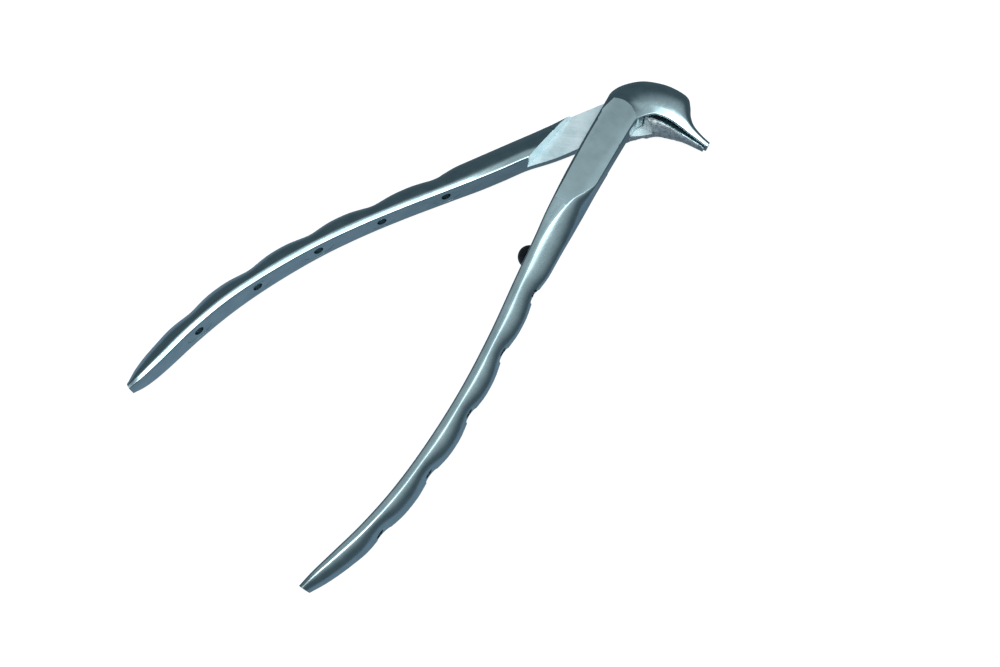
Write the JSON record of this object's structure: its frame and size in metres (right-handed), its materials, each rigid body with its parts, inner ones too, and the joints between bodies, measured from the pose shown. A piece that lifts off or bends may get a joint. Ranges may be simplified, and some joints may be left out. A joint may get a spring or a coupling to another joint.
{
  "type": "hawk-bill gripping pliers",
  "caption": "Slim hawk-bill gripping pliers with sideways jaws, a lap joint, bowed finger-scalloped handles and a small domed stop screw.",
  "frame": {"origin": "under the middle of the tool's bounding box, on the plane that the joint's rear face rests on", "axes": "+Y from the handle ends to the joint, along the longest extent; +X the way the jaws turn; +Z along the pivot, out of the front lever's joint plate"},
  "size_m": [0.0756, 0.1598, 0.01],
  "materials": {
    "front_steel": "satin stainless steel with a brushed joint plate",
    "rear_steel": "satin stainless steel, polished lap face, rough grip on the jaw's back",
    "pivot_steel": "satin stainless steel",
    "black_steel": "blackened steel"
  },
  "bodies": {
    "front_half": {"front_lever": "front_steel", "pivot_screw": "pivot_steel"},
    "rear_half": {"rear_lever": "rear_steel"},
    "stop": {"stop_screw": "black_steel"}
  },
  "joints": [
    {"name": "lever_pivot", "type": "hinge", "parent": "front_half", "child": "rear_half", "pos_m": [0.00034, 0.06277, 0.005], "axis": [0, 0, -1], "range_deg": [-0.6, 25]},
    {"name": "stop_adjust", "type": "slide", "parent": "front_half", "child": "stop", "axis": [-0.9332, -0.3594, 0], "range_m": [0, 0.002]}
  ]
}
